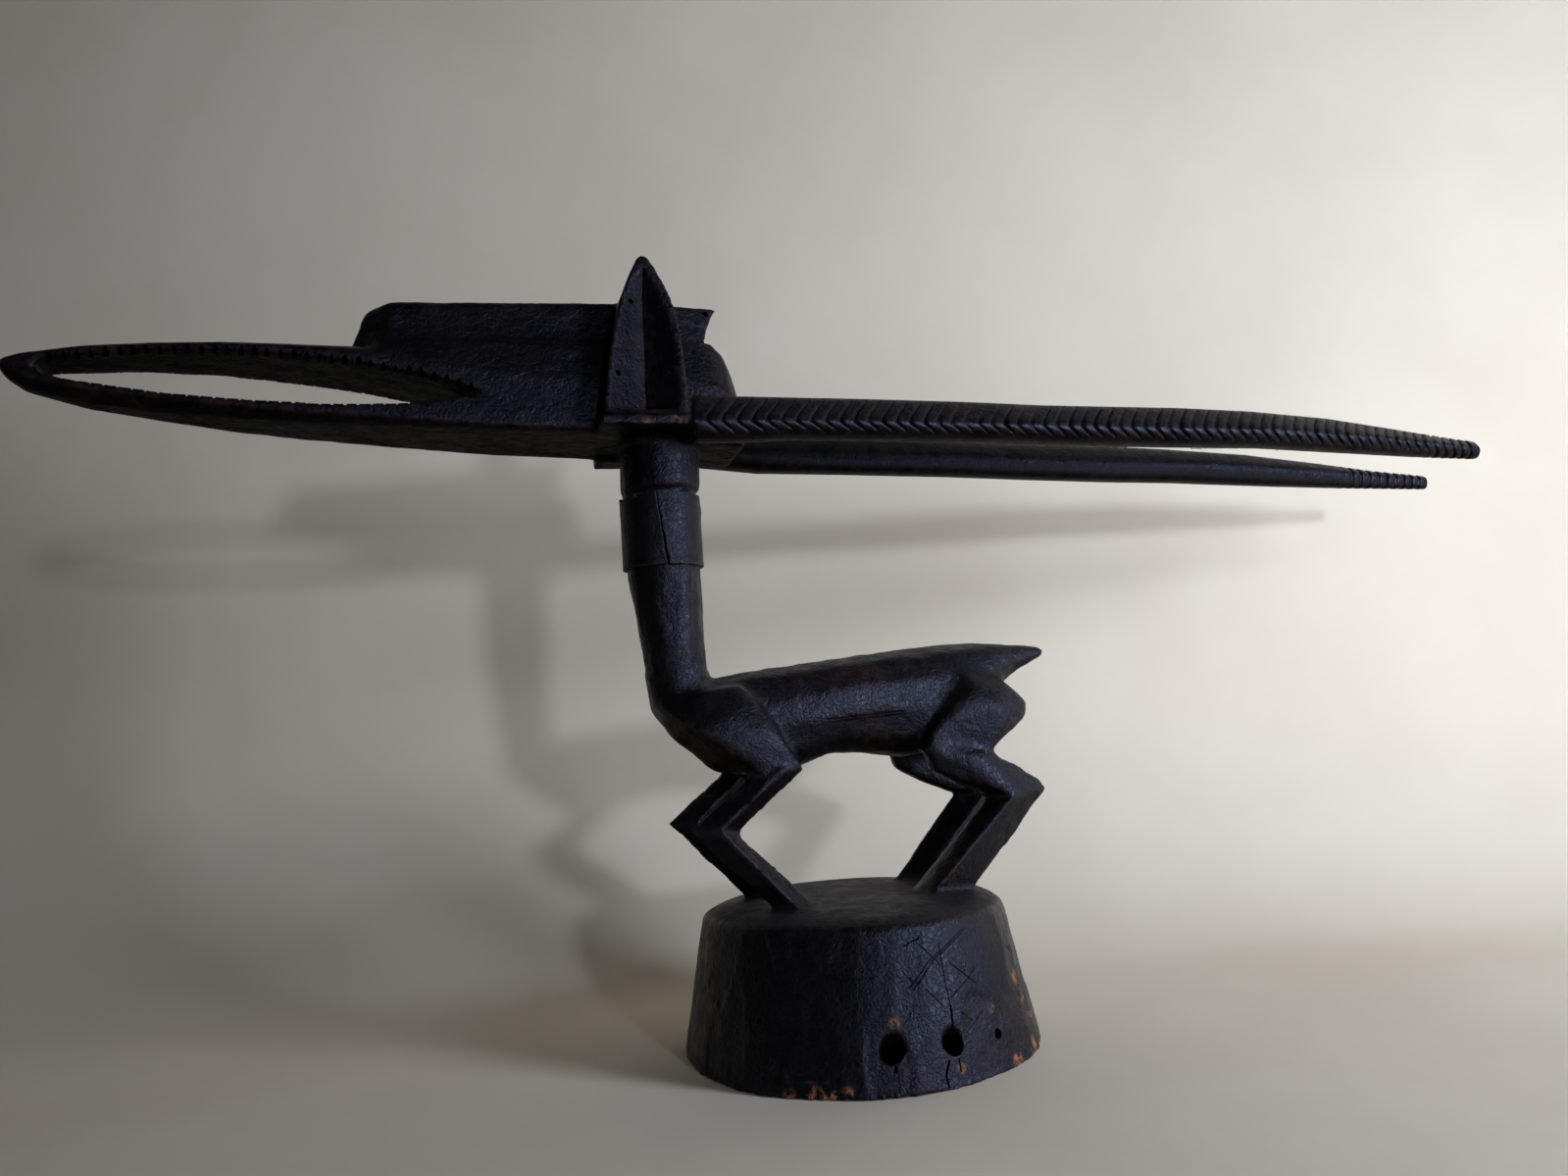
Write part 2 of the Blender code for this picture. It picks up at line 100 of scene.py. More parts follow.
def pick(piece):
    deselectAll()
    piece.select_set(True)
    bpy.context.view_layer.objects.active = piece


def applyAll(piece):
    pick(piece)
    for step in list(piece.modifiers):
        bpy.ops.object.modifier_apply(modifier=step.name)


def copyOfNode(node, name):
    # a CAD node's mesh is loose triangles, so its doubles are merged first
    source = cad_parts[node]
    piece = bpy.data.objects.new(name, source.data.copy())
    bpy.context.scene.collection.objects.link(piece)
    piece.data.materials.clear()
    pick(piece)
    bpy.ops.object.mode_set(mode="EDIT")
    bpy.ops.mesh.select_all(action="SELECT")
    bpy.ops.mesh.remove_doubles(threshold=0.000002)
    bpy.ops.object.mode_set(mode="OBJECT")
    return piece


def evenSkin(piece, voxel):
    # one even skin over the carving, fine enough to take wear and tool marks
    skin = piece.modifiers.new("evenSkin", "REMESH")
    skin.mode = "VOXEL"
    skin.voxel_size = voxel * mm
    applyAll(piece)


def readMesh(piece):
    mesh = piece.data
    places = np.empty(len(mesh.vertices) * 3)
    normals = np.empty(len(mesh.vertices) * 3)
    mesh.vertices.foreach_get("co", places)
    mesh.vertex_normals.foreach_get("vector", normals)
    return places.reshape(-1, 3), normals.reshape(-1, 3)


def writePlaces(piece, places):
    piece.data.vertices.foreach_set("co", places.ravel())
    piece.data.update()


def neighbourAverage(piece):
    # gives a function that averages any column of values over each point's neighbours
    mesh = piece.data
    ends = np.empty(len(mesh.edges) * 2, dtype=np.int32)
    mesh.edges.foreach_get("vertices", ends)
    first, second = ends.reshape(-1, 2).T
    size = len(mesh.vertices)
    share = np.maximum(np.bincount(first, minlength=size) + np.bincount(second, minlength=size), 1)

    def average(values):
        columns = [np.bincount(first, column[second], size) + np.bincount(second, column[first], size)
                   for column in values.T]
        return np.array(columns).T / share[:, None]

    return average


def rubDown(piece, rounds, amount):
    # corners worn round: every second round pushes back out, so that thin parts keep their size
    places, normals = readMesh(piece)
    average = neighbourAverage(piece)
    weight = amount(places)[:, None]
    for step in range(rounds):
        places = places + 0.62 * weight * (average(places) - places)
        places = places - 0.3 * weight * (average(places) - places)
    writePlaces(piece, places)


def adzeFacets(piece, cut, chosen=None):
    # flat tool marks: each point is pared back to the planes of the cuts nearest to it
    places, normals = readMesh(piece)
    stretch = np.array(cut["stretch"])
    random = np.random.default_rng(cut["seed"])
    order = random.permutation(len(places))
    if chosen is not None:
        order = order[chosen(places[order])]
    cells = np.floor(places[order] * stretch / (cut["size"] * mm)).astype(int)
    first = np.unique(cells, axis=0, return_index=True)[1]
    seeds = order[first]
    planes = normals[seeds] + random.normal(0.0, math.sin(math.radians(cut["tilt"])), (len(seeds), 3))
    planes /= np.linalg.norm(planes, axis=1)[:, None]
    tree = KDTree(len(seeds))
    for index, seed in enumerate(seeds):
        tree.insert(places[seed] * stretch, index)
    tree.balance()
    nearest = np.array([[hit[1] for hit in tree.find_n(place, 5)] for place in places[order] * stretch])
    gap = places[order][:, None, :] - places[seeds][nearest]
    height = (gap * planes[nearest]).sum(2) + cut["sink"] * mm
    facing = (planes[nearest] * normals[order][:, None, :]).sum(2)
    height = np.where(facing > 0.8, height, 0.0).max(1)
    height = np.clip(height, 0.0, cut["deepest"] * mm)
    places[order] -= normals[order] * height[:, None]
    writePlaces(piece, places)


def wrinkle(piece, size, deep, chosen):
    # a skin of low wrinkles and lumps, pressed in along each point's normal
    places, normals = readMesh(piece)
    amount = chosen(places) * deep * mm
    for index in np.flatnonzero(amount > 0.0):
        spot = Vector(places[index]) / (size * mm)
        fold = noise.ridged_multi_fractal(spot, 1.0, 2.0, 3, 1.0, 2.0) - 1.2
        lumpy = noise.fractal(spot * 0.45, 1.0, 2.0, 2)
        places[index] += normals[index] * amount[index] * (0.6 * lumpy - max(0.0, fold) - 0.2)
    writePlaces(piece, places)


def keepInside(piece, node):
    # nothing may stand past the box of the solid that the piece replaces
    low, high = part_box(node)
    places, normals = readMesh(piece)
    writePlaces(piece, np.clip(places, np.array(low), np.array(high)))


def markRelief(piece, rounds, full):
    # how far each point stands out of its surroundings: over a half on edges, under a half in hollows
    places, normals = readMesh(piece)
    average = neighbourAverage(piece)
    smooth = places
    for step in range(rounds):
        smooth = average(smooth)
    stand = ((places - smooth) * normals).sum(1)
    relief = piece.data.attributes.new("relief", "FLOAT", "POINT")
    relief.data.foreach_set("value", np.clip(0.5 + stand / (full * mm), 0.0, 1.0).astype(np.float32))


def bevelStrip(path, outward, width, depth):
    # a V-shaped strip along a path: two edges above the surface and one below it
    lift = 0.6 * mm
    half = 0.5 * width * (depth * mm + lift) / (depth * mm)
    points, faces = [], []
    for index, place in enumerate(path):
        ahead = path[min(index + 1, len(path) - 1)] - path[max(index - 1, 0)]
        side = ahead.cross(outward[index]).normalized() * half
        points += [place + outward[index] * lift + side, place + outward[index] * lift - side,
                   place - outward[index] * depth * mm]
    for step in range(len(path) - 1):
        near, far = 3 * step, 3 * step + 3
        faces += [(near, near + 1, far + 1, far), (near + 1, near + 2, far + 2, far + 1),
                  (near + 2, near, far, far + 2)]
    last = len(points) - 3
    faces += [(2, 1, 0), (last, last + 1, last + 2)]
    return points, faces


def joinParts(parts):
    # several closed shapes that don't touch, as one cutter
    points, faces = [], []
    for morePoints, moreFaces in parts:
        base = len(points)
        points += morePoints
        faces += [tuple(index + base for index in face) for face in moreFaces]
    return points, faces


def cutAway(piece, parts):
    # every part is its own cutter, so crossing lines are cut one after the other
    for points, faces in parts:
        mesh = bpy.data.meshes.new("cutter")
        mesh.from_pydata(points, [], faces)
        shape = bmesh.new()
        shape.from_mesh(mesh)
        bmesh.ops.recalc_face_normals(shape, faces=shape.faces)
        shape.to_mesh(mesh)
        shape.free()
        cutter = bpy.data.objects.new("cutter", mesh)
        bpy.context.scene.collection.objects.link(cutter)
        cut = piece.modifiers.new("cut", "BOOLEAN")
        cut.operation = "DIFFERENCE"
        cut.solver = "MANIFOLD"
        cut.object = cutter
        applyAll(piece)
        bpy.data.objects.remove(cutter)
        bpy.data.meshes.remove(mesh)


def lineOnSurface(piece, points, towards, step=2.5):
    # walks from point to point and drops each stop onto the carving
    path, outward = [], []
    stops = [Vector(point) * mm for point in points]
    for start, end in zip(stops, stops[1:]):
        pieces = max(1, round((end - start).length / (step * mm)))
        for index in range(pieces + (end == stops[-1])):
            stop = start.lerp(end, index / pieces)
            way = towards(stop)
            struck, place, normal, face = piece.ray_cast(stop - way * 25.0 * mm, way)
            if struck:
                path.append(place)
                outward.append(-way)
    return path, outward


def finishPiece(piece, node, material):
    pick(piece)
    bpy.ops.object.shade_smooth_by_angle(angle=math.radians(50.0))
    piece.data.materials.clear()
    piece.data.materials.append(material)
    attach(piece, "root")
    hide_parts(node)


# Small tools for materials

def colour(code):
    # sRGB hex to the linear values that the shader wants
    parts = [int(code[index:index + 2], 16) / 255.0 for index in (1, 3, 5)]
    return tuple(part / 12.92 if part <= 0.04045 else ((part + 0.055) / 1.055) ** 2.4 for part in parts) + (1.0,)


def addNode(tree, kind, settings=None, links=None):
    # settings are the node's own properties or, by socket name or number, its values; a link comes from one of
    # another node's outputs, or from the node itself, which then gives its first live output
    node = tree.nodes.new("ShaderNode" + kind)
    for name, value in (settings or {}).items():
        if isinstance(name, str) and hasattr(node, name):
            setattr(node, name, value)
        else:
            node.inputs[name].default_value = value
    for name, source in (links or {}).items():
        if isinstance(source, bpy.types.Node):
            source = next(output for output in source.outputs if output.enabled)
        tree.links.new(source, node.inputs[name])
    return node


def ramp(low, high, start=0.0, end=1.0):
    # settings of a soft step from start to end between two values
    return {"interpolation_type": "SMOOTHSTEP", "From Min": low, "From Max": high, "To Min": start, "To Max": end}


def spotMask(tree, place, spots):
    # soft round patches at named places, each (x, y, z, radius) in millimetres
    total = None
    for x, y, z, radius in spots:
        reach = addNode(tree, "VectorMath", {"operation": "DISTANCE", 1: (x * mm, y * mm, z * mm)}, {0: place})
        patch = addNode(tree, "MapRange", ramp(radius * mm, 0.3 * radius * mm), {"Value": reach})
        total = addNode(tree, "Math", {"operation": "MAXIMUM"}, {0: total, 1: patch}) if total else patch
    return total


def makePatina(name, look):
    # Hardwood or hide, smoked and oiled over years of use: nearly black and satin, with a wrinkled, crazed skin of
    # patina that has worn off to red brown and tan where hands and cords have rubbed it
    material = bpy.data.materials.new(name)
    material.use_nodes = True
    tree = material.node_tree
    shader = tree.nodes["Principled BSDF"]
    times = {"operation": "MULTIPLY"}
    place = addNode(tree, "TexCoord").outputs["Object"]

    broad = addNode(tree, "TexNoise", {"Scale": 1.0 / (28.0 * mm), "Detail": 5.0}, {"Vector": place})
    mottle = addNode(tree, "TexNoise", {"Scale": 1.0 / (6.0 * mm), "Detail": 6.0, "Roughness": 0.65},
                     {"Vector": place})
    along = addNode(tree, "Mapping", {"Scale": look["grainScale"]}, {"Vector": place})
    grain = addNode(tree, "TexNoise", {"Scale": 1.0, "Detail": 5.0, "Roughness": 0.6}, {"Vector": along})
    lump = addNode(tree, "TexNoise", {"Scale": 1.0 / (look["lumpSize"] * mm), "Detail": 3.0, "Roughness": 0.6},
                   {"Vector": place})

    # crazed skin: cracks between small cells, bent so that no cell is regular
    bent = addNode(tree, "VectorMath", {"operation": "MULTIPLY_ADD", 1: (0.005, 0.005, 0.005)},
                   {0: mottle.outputs["Color"], 2: place})
    craze = addNode(tree, "TexVoronoi", {"feature": "DISTANCE_TO_EDGE", "Scale": 1.0 / (look["crazeSize"] * mm)},
                    {"Vector": bent})
    crack = addNode(tree, "MapRange", ramp(0.0, 0.16), {"Value": craze})

    relief = addNode(tree, "Attribute", {"attribute_name": "relief"}).outputs["Fac"]
    edges = addNode(tree, "Math", times, {0: addNode(tree, "MapRange", ramp(0.6, 0.95), {"Value": relief}),
                                          1: addNode(tree, "MapRange", ramp(0.42, 0.6), {"Value": mottle})})
    hollows = addNode(tree, "Math", times, {0: addNode(tree, "MapRange", ramp(0.4, 0.12), {"Value": relief}),
                                            1: addNode(tree, "MapRange", ramp(0.35, 0.6), {"Value": mottle})})

    # colour, from the darkest skin up to bare wood
    tone = addNode(tree, "Mix", {"data_type": "RGBA", 6: colour(look["deep"]), 7: colour(look["mid"])},
                   {0: addNode(tree, "MapRange", ramp(0.35, 0.65), {"Value": broad})})
    tone = addNode(tree, "Mix", {"data_type": "RGBA", 7: colour(look["warm"])},
                   {0: addNode(tree, "MapRange", ramp(0.5, 0.72, 0.0, 0.55), {"Value": grain}), 6: tone})
    rubbed = addNode(tree, "Math", times, {0: spotMask(tree, place, look["redSpots"]),
                                           1: addNode(tree, "MapRange", ramp(0.42, 0.64), {"Value": mottle})})
    tone = addNode(tree, "Mix", {"data_type": "RGBA", 7: colour(look["red"])}, {0: rubbed, 6: tone})
    # lighter colour on ridges: partly rubbed edge wear, partly a painted highlight standing in for the glint of the
    # ridges
    edgeWearAndHighlight = addNode(tree, "Math", {"operation": "MULTIPLY", 1: look["edgeAmount"]}, {0: edges})
    tone = addNode(tree, "Mix", {"data_type": "RGBA", 7: colour(look["edge"])}, {0: edgeWearAndHighlight, 6: tone})
    bare = addNode(tree, "Math", times, {0: spotMask(tree, place, look["tanSpots"]),
                                         1: addNode(tree, "MapRange", ramp(0.45, 0.55), {"Value": mottle})})
    bareTone = addNode(tree, "Mix", {"data_type": "RGBA", 6: colour(look["tan"]), 7: colour(look["rust"])},
                       {0: addNode(tree, "MapRange", ramp(0.45, 0.62), {"Value": lump})})
    tone = addNode(tree, "Mix", {"data_type": "RGBA"}, {0: bare, 6: tone, 7: bareTone})

    # dust lies in the cuts and on what faces up
    facing = addNode(tree, "SeparateXYZ", None, {0: addNode(tree, "NewGeometry").outputs["Normal"]}).outputs["Z"]
    height = addNode(tree, "SeparateXYZ", None, {0: place}).outputs["Z"]
    low, high = look["dustHeights"]
    lying = addNode(tree, "Math", times, {0: addNode(tree, "MapRange", ramp(0.75, 0.98), {"Value": facing}),
                                          1: addNode(tree, "MapRange", ramp(high * mm, low * mm), {"Value": height})})
    lying = addNode(tree, "Math", times, {0: lying, 1: addNode(tree, "MapRange", ramp(0.3, 0.6, 0.45, 1.0),
                                                               {"Value": broad})})
    lying = addNode(tree, "Math", {"operation": "MULTIPLY", 1: look["dustAmount"]}, {0: lying})
    filled = addNode(tree, "Math", {"operation": "MULTIPLY", 1: look["hollowAmount"]}, {0: hollows})
    dust = addNode(tree, "Math", {"operation": "MAXIMUM"}, {0: lying, 1: filled})
    tone = addNode(tree, "Mix", {"data_type": "RGBA", 7: colour(look["dust"])}, {0: dust, 6: tone})
    tree.links.new(tone.outputs[2], shader.inputs["Base Color"])

    # gloss: polished by hands in broad patches, dull in the dust and on bare wood
    gloss = addNode(tree, "MapRange", ramp(0.35, 0.7, *look["rough"]), {"Value": mottle})
    worn = addNode(tree, "Math", {"operation": "MULTIPLY_ADD", 1: 0.4}, {0: dust, 2: gloss})
    worn = addNode(tree, "Math", {"operation": "MULTIPLY_ADD", 1: 0.3}, {0: bare, 2: worn})
    tree.links.new(worn.outputs[0], shader.inputs["Roughness"])
    shader.inputs["IOR"].default_value = 1.5
    # less specular on what faces down: painted shade on the undersides
    undersideShade = addNode(tree, "MapRange", ramp(-0.75, -0.15, 0.08 * look["specular"], look["specular"]),
                     {"Value": facing})
    tree.links.new(undersideShade.outputs[0], shader.inputs["Specular IOR Level"])
    shader.inputs["Specular Tint"].default_value = colour(look["sheen"])

    skin = addNode(tree, "Bump", {"Strength": look["crazeDepth"], "Distance": 0.5 * mm}, {"Height": crack})
    fibre = addNode(tree, "Bump", {"Strength": look["grainDepth"], "Distance": 0.4 * mm},
                    {"Height": grain, "Normal": skin})
    dents = addNode(tree, "Bump", {"Strength": 0.4, "Distance": 1.4 * mm}, {"Height": mottle, "Normal": fibre})
    lumps = addNode(tree, "Bump", {"Strength": look["lumpDepth"], "Distance": 0.7 * mm},
                    {"Height": lump, "Normal": dents})
    tree.links.new(lumps.outputs[0], shader.inputs["Normal"])
    return material


# The body, its legs and the plinth: one carving

body = {
    "voxel": 1.36,
    "rounds": 24,
    "facets": {"size": 8.0, "stretch": (0.8, 1.0, 0.75), "tilt": 1.6, "sink": 0.02, "deepest": 0.3, "seed": 4},
    "plinthFacets": {"size": 11.0, "stretch": (1.0, 1.0, 0.42), "tilt": 1.8, "sink": 0.08, "deepest": 0.8, "seed": 9},
    # lashing holes and the peg's hole, each (x, y, height, radius) at its mouth on the plinth's side
    "lashingHoles": ((-16.6, 78.6, 17.4, 4.5), (8.9, 80.0, 17.0, 4.4)),
    "pegHole": (33.1, -73.2, 14.3, 2.2),
    "holeReach": 44.0,
    "neckFacets": {"size": 10.0, "stretch": (1.0, 1.0, 0.14), "tilt": 2.5, "sink": 0.12, "deepest": 0.6, "seed": 15},
    "plinthRadii": (80.0, 84.0, 68.8, 71.6, 58.4),
    "scratchWidth": 0.5,
    "scratchDepth": 0.35,
    # lines scratched on the plinth's side, each stop as (angle, height)
    "scratches": (
        ((-68.4, 56.6), (-85.2, 47.8), (-93.7, 37.6)),
        ((-70.0, 56.8), (-86.8, 47.8), (-95.2, 38.1)),
        ((-90.6, 55.5), (-85.1, 48.4), (-82.7, 44.9)),
        ((-82.1, 53.0), (-82.3, 40.5), (-82.0, 28.8)),
        ((-96.5, 45.2), (-93.4, 39.4)),
        ((-89.8, 37.6), (-84.2, 29.8)),
        ((-79.3, 45.5), (-69.7, 35.2)),
        ((-68.0, 41.1), (-81.2, 32.9)),
        ((-78.7, 26.8), (-73.9, 22.0)),
        ((-68.9, 24.3), (-77.9, 18.2)),
        ((-88.5, 57.0), (-94.8, 54.2)),
    ),
    # drying cracks at the lashing holes, each stop as (angle, height), with width and depth
    "cracks": (
        (((-82.0, 30.0), (-82.6, 20.0)), 1.0, 1.6),
        (((-101.9, 13.5), (-102.1, 9.0)), 1.5, 2.4),
        (((-84.6, 12.5), (-86.4, 8.4), (-87.4, 5.2), (-87.0, -1.0)), 1.1, 2.0),
        (((-82.2, 13.0), (-82.4, 5.5)), 0.9, 1.2),
    ),
    # lines incised on the near flank
    "flankLines": (
        ((-11.8, -24.0, 145.8), (25.4, -24.0, 147.3)),
        ((-11.0, -24.0, 144.4), (25.8, -24.0, 145.9)),
        ((-40.4, -24.0, 161.3), (-29.8, -24.0, 162.0)),
    ),
}


def onPlinth(angle, height):
    length, width, rimLength, rimWidth, rimHeight = body["plinthRadii"]
    share = height / rimHeight
    turn = math.radians(angle)
    return ((length + (rimLength - length) * share) * math.cos(turn),
            (width + (rimWidth - width) * share) * math.sin(turn), height)


def towardsAxis(stop):
    return -Vector((stop.x, stop.y, 0.0)).normalized()


def acrossBody(stop):
    return Vector((0.0, 1.0, 0.0))


def drillPart(start, end, radius, sides=20):
    # a round drill from start to end
    way = (end - start).normalized()
    turn = way.to_track_quat("Z", "Y").to_matrix()
    points, faces = [], []
    for centre in (start, end):
        for index in range(sides):
            angle = 2.0 * math.pi * index / sides
            points.append((centre + turn @ Vector((radius * math.cos(angle), radius * math.sin(angle), 0.0))) * mm)
    for index in range(sides):
        after = (index + 1) % sides
        faces.append((index, after, after + sides, index + sides))
    faces += [tuple(range(sides)), tuple(range(sides, 2 * sides))]
    return points, faces


def bodyWear(places):
    # the back, chest and haunches are rubbed round; the legs and the plinth's edges keep more of their shape
    height = places[:, 2] / mm
    upper = np.clip((height - 118.0) / 10.0, 0.0, 1.0)
    tail = np.clip((places[:, 0] / mm - 92.0) / 8.0, 0.0, 1.0)
    neck = np.clip((height - 172.0) / 8.0, 0.0, 1.0) * (places[:, 0] < -60.0 * mm)
    rim = np.exp(-((height - 59.0) / 4.0) ** 2) * 0.35
    return np.clip(0.22 + 0.78 * upper * (1.0 - 0.8 * tail) * (1.0 - 0.7 * neck) + rim, 0.0, 1.0)


def bodyWrinkles(places):
    # strongest on the chest, back and haunch, faint on the neck and the plinth, none on the underside
    height = places[:, 2] / mm
    upper = np.clip((height - 70.0) / 10.0, 0.0, 1.0) * (1.0 - 0.7 * np.clip((height - 168.0) / 6.0, 0.0, 1.0))
    return np.where(height > 1.0, 0.35 + 0.65 * upper, 0.0)


def makeBody():
    piece = copyOfNode("body_and_plinth", "carvedBody")
    evenSkin(piece, body["voxel"])
    rubDown(piece, body["rounds"], bodyWear)
    adzeFacets(piece, body["facets"], lambda places: places[:, 2] > 66.5 * mm)
    adzeFacets(piece, body["plinthFacets"],
               lambda places: (places[:, 2] < 60.0 * mm) & (places[:, 2] > 1.5 * mm))
    adzeFacets(piece, body["neckFacets"], lambda places: (places[:, 2] > 172.0 * mm) & (places[:, 0] < -60.0 * mm))
    rubDown(piece, 1, lambda places: np.ones(len(places)))
    wrinkle(piece, 5.0, 0.35, bodyWrinkles)
    parts = []
    for x, y, height, radius in body["lashingHoles"]:
        mouth = Vector((x, -y, height))
        way = (Vector((x, -y, 0.0)).normalized() + Vector((0.0, 0.0, 0.8))).normalized()
        parts.append(drillPart(mouth + way * 14.0, mouth - way * body["holeReach"], radius * 0.98))
    x, y, height, radius = body["pegHole"]
    mouth, way = Vector((x, y, height)), Vector((x, y, 0.0)).normalized()
    parts.append(drillPart(mouth + way * 5.0, mouth - way * 9.0, radius))
    for stops in body["scratches"]:
        path, outward = lineOnSurface(piece, [onPlinth(*stop) for stop in stops], towardsAxis)
        parts.append(bevelStrip(path, outward, body["scratchWidth"] * mm, body["scratchDepth"]))
    for stops, width, depth in body["cracks"]:
        path, outward = lineOnSurface(piece, [onPlinth(*stop) for stop in stops], towardsAxis)
        parts.append(bevelStrip(path, outward, width * mm, depth))
    for stops in body["flankLines"]:
        path, outward = lineOnSurface(piece, stops, acrossBody)
        parts.append(bevelStrip(path, outward, body["scratchWidth"] * mm, body["scratchDepth"]))
    cutAway(piece, parts)
    keepInside(piece, "body_and_plinth")
    markRelief(piece, 8, 0.9)
    return piece


bodyLook = {
    # edge is the ridges' colour: rubbed wear and a painted highlight together
    "deep": "#070607", "mid": "#0D0B0C", "warm": "#170F0D", "red": "#261511", "edge": "#241B18",
    "tan": "#8C6241", "rust": "#5A3423", "dust": "#2E2925",
    "grainScale": (1.0 / (1.6 * mm), 1.0 / (1.6 * mm), 1.0 / (22.0 * mm)),
    "crazeSize": 2.7, "crazeDepth": 0.3, "grainDepth": 0.2, "lumpSize": 2.4, "lumpDepth": 0.45,
    "rough": (0.3, 0.48), "specular": 0.24, "sheen": "#D4DCFF",
    "edgeAmount": 0.6, "hollowAmount": 0.3, "dustAmount": 0.75, "dustHeights": (64.0, 74.0),
    # red brown wear on the flank, the belly and the legs
    "redSpots": ((5.0, -20.0, 158.0, 24.0), (12.0, -19.0, 132.0, 16.0), (-20.0, -26.0, 118.0, 14.0),
                 (-62.0, -22.0, 127.0, 16.0), (-45.0, -27.0, 104.0, 12.0), (30.0, 8.0, 127.0, 14.0),
                 (38.0, -31.0, 76.0, 12.0), (34.0, -25.0, 66.0, 10.0), (-20.0, -20.0, 162.0, 14.0),
                 (48.0, -68.0, 22.0, 13.0), (-8.0, -84.0, 4.0, 11.0), (28.0, -78.0, 5.0, 10.0)),
    # bare wood on the plinth's lower edge, beside the lashing holes and on the front leg's back edge
    "tanSpots": ((-56.0, -64.0, 1.5, 5.0), (-49.0, -68.0, 2.5, 6.0), (-42.0, -72.0, 2.0, 6.0),
                 (-35.0, -76.0, 1.5, 5.0), (-14.6, -79.0, 26.5, 3.6), (11.0, -83.0, 7.0, 3.2),
                 (52.0, -56.0, 32.0, 5.0), (54.0, -56.0, 24.0, 5.0), (60.0, -53.0, 12.0, 5.0),
                 (32.0, -72.0, 25.0, 3.5), (56.0, -60.0, 3.0, 6.0), (42.0, -70.0, 2.0, 5.0),
                 (-40.0, -25.0, 108.0, 5.0), (-50.0, -27.0, 104.0, 4.0)),
}

darkWood = makePatina("patinatedWoodBody", bodyLook)
carvedBody = makeBody()
finishPiece(carvedBody, "body_and_plinth", darkWood)
print("body carved:", len(carvedBody.data.polygons), "faces")


# The head: muzzle, skull, crest, ears and the stub of neck. The horns are made apart.

head = {
    "voxel": 1.0,
    "rounds": 12,
    "lean": -4.0,             # the head leans on the neck, degrees about the X axis
    "leanHeight": 262.0,
    "facets": {"size": 8.0, "stretch": (0.6, 1.0, 1.0), "tilt": 1.2, "sink": 0.0, "deepest": 0.22, "seed": 21},
    # the slit mouth: its upper and lower edge and the head's half width along it
    "mouthTop": ((-327.5, 306.5), (-325.0, 308.5), (-310.0, 310.0), (-298.0, 311.2), (-283.0, 311.7),
                 (-263.0, 311.6), (-244.0, 310.4), (-227.0, 308.8), (-205.0, 306.0), (-190.0, 303.2),
                 (-178.0, 300.6), (-157.0, 294.0)),
    "mouthBottom": ((-327.5, 304.6), (-325.0, 303.2), (-311.0, 299.8), (-282.0, 294.4), (-249.0, 290.8),
                    (-214.0, 288.9), (-190.0, 289.4), (-159.0, 292.8), (-157.0, 293.4)),
    "mouthWidth": ((-340.0, 5.0), (-331.0, 9.0), (-310.0, 11.6), (-285.0, 14.0), (-256.0, 16.7),
                   (-226.0, 18.7), (-205.0, 19.7), (-180.0, 20.8), (-150.0, 21.6)),
    "toothPitch": 5.0,
    "upperNotch": (2.7, 3.0, 6.5),     # half width, height and reach inward
    "lowerNotch": (1.6, 2.2, 4.0),
    "notchShare": {-1.0: 0.9, 1.0: 0.35},     # the far side's notches are lower and shorter than the near side's
    "reachShare": {-1.0: 0.9, 1.0: 0.5},
    # the V-shaped hollow of an ear: height, left edge, valley, right edge, depth
    "earHollow": ((283.0, -104.8, -87.4, -74.6, 10.5), (298.0, -104.0, -87.0, -73.6, 10.0),
                  (314.0, -101.0, -86.2, -73.4, 9.0), (328.0, -97.6, -86.0, -75.2, 7.5),
                  (338.0, -94.6, -85.8, -78.8, 5.5), (346.0, -90.6, -85.4, -81.8, 3.0),
                  (351.5, -86.4, -85.2, -84.2, 0.6)),
    "earFaces": {"near": 34.6, "far": 29.0},
    "sideLines": (((-172.0, -22.0, 319.5), (-150.0, -22.0, 319.4), (-123.0, -22.0, 318.5)),),
    # pits burnt in the near ear and one in the crest's rear, each (x, y, z, radius)
    "pits": ((-91.7, -30.0, 337.0, 1.3), (-100.1, -32.0, 302.1, 1.4), (-80.1, -30.0, 336.4, 1.2),
             (-76.5, -32.0, 303.9, 1.4), (-52.8, -9.0, 339.5, 1.5)),
}

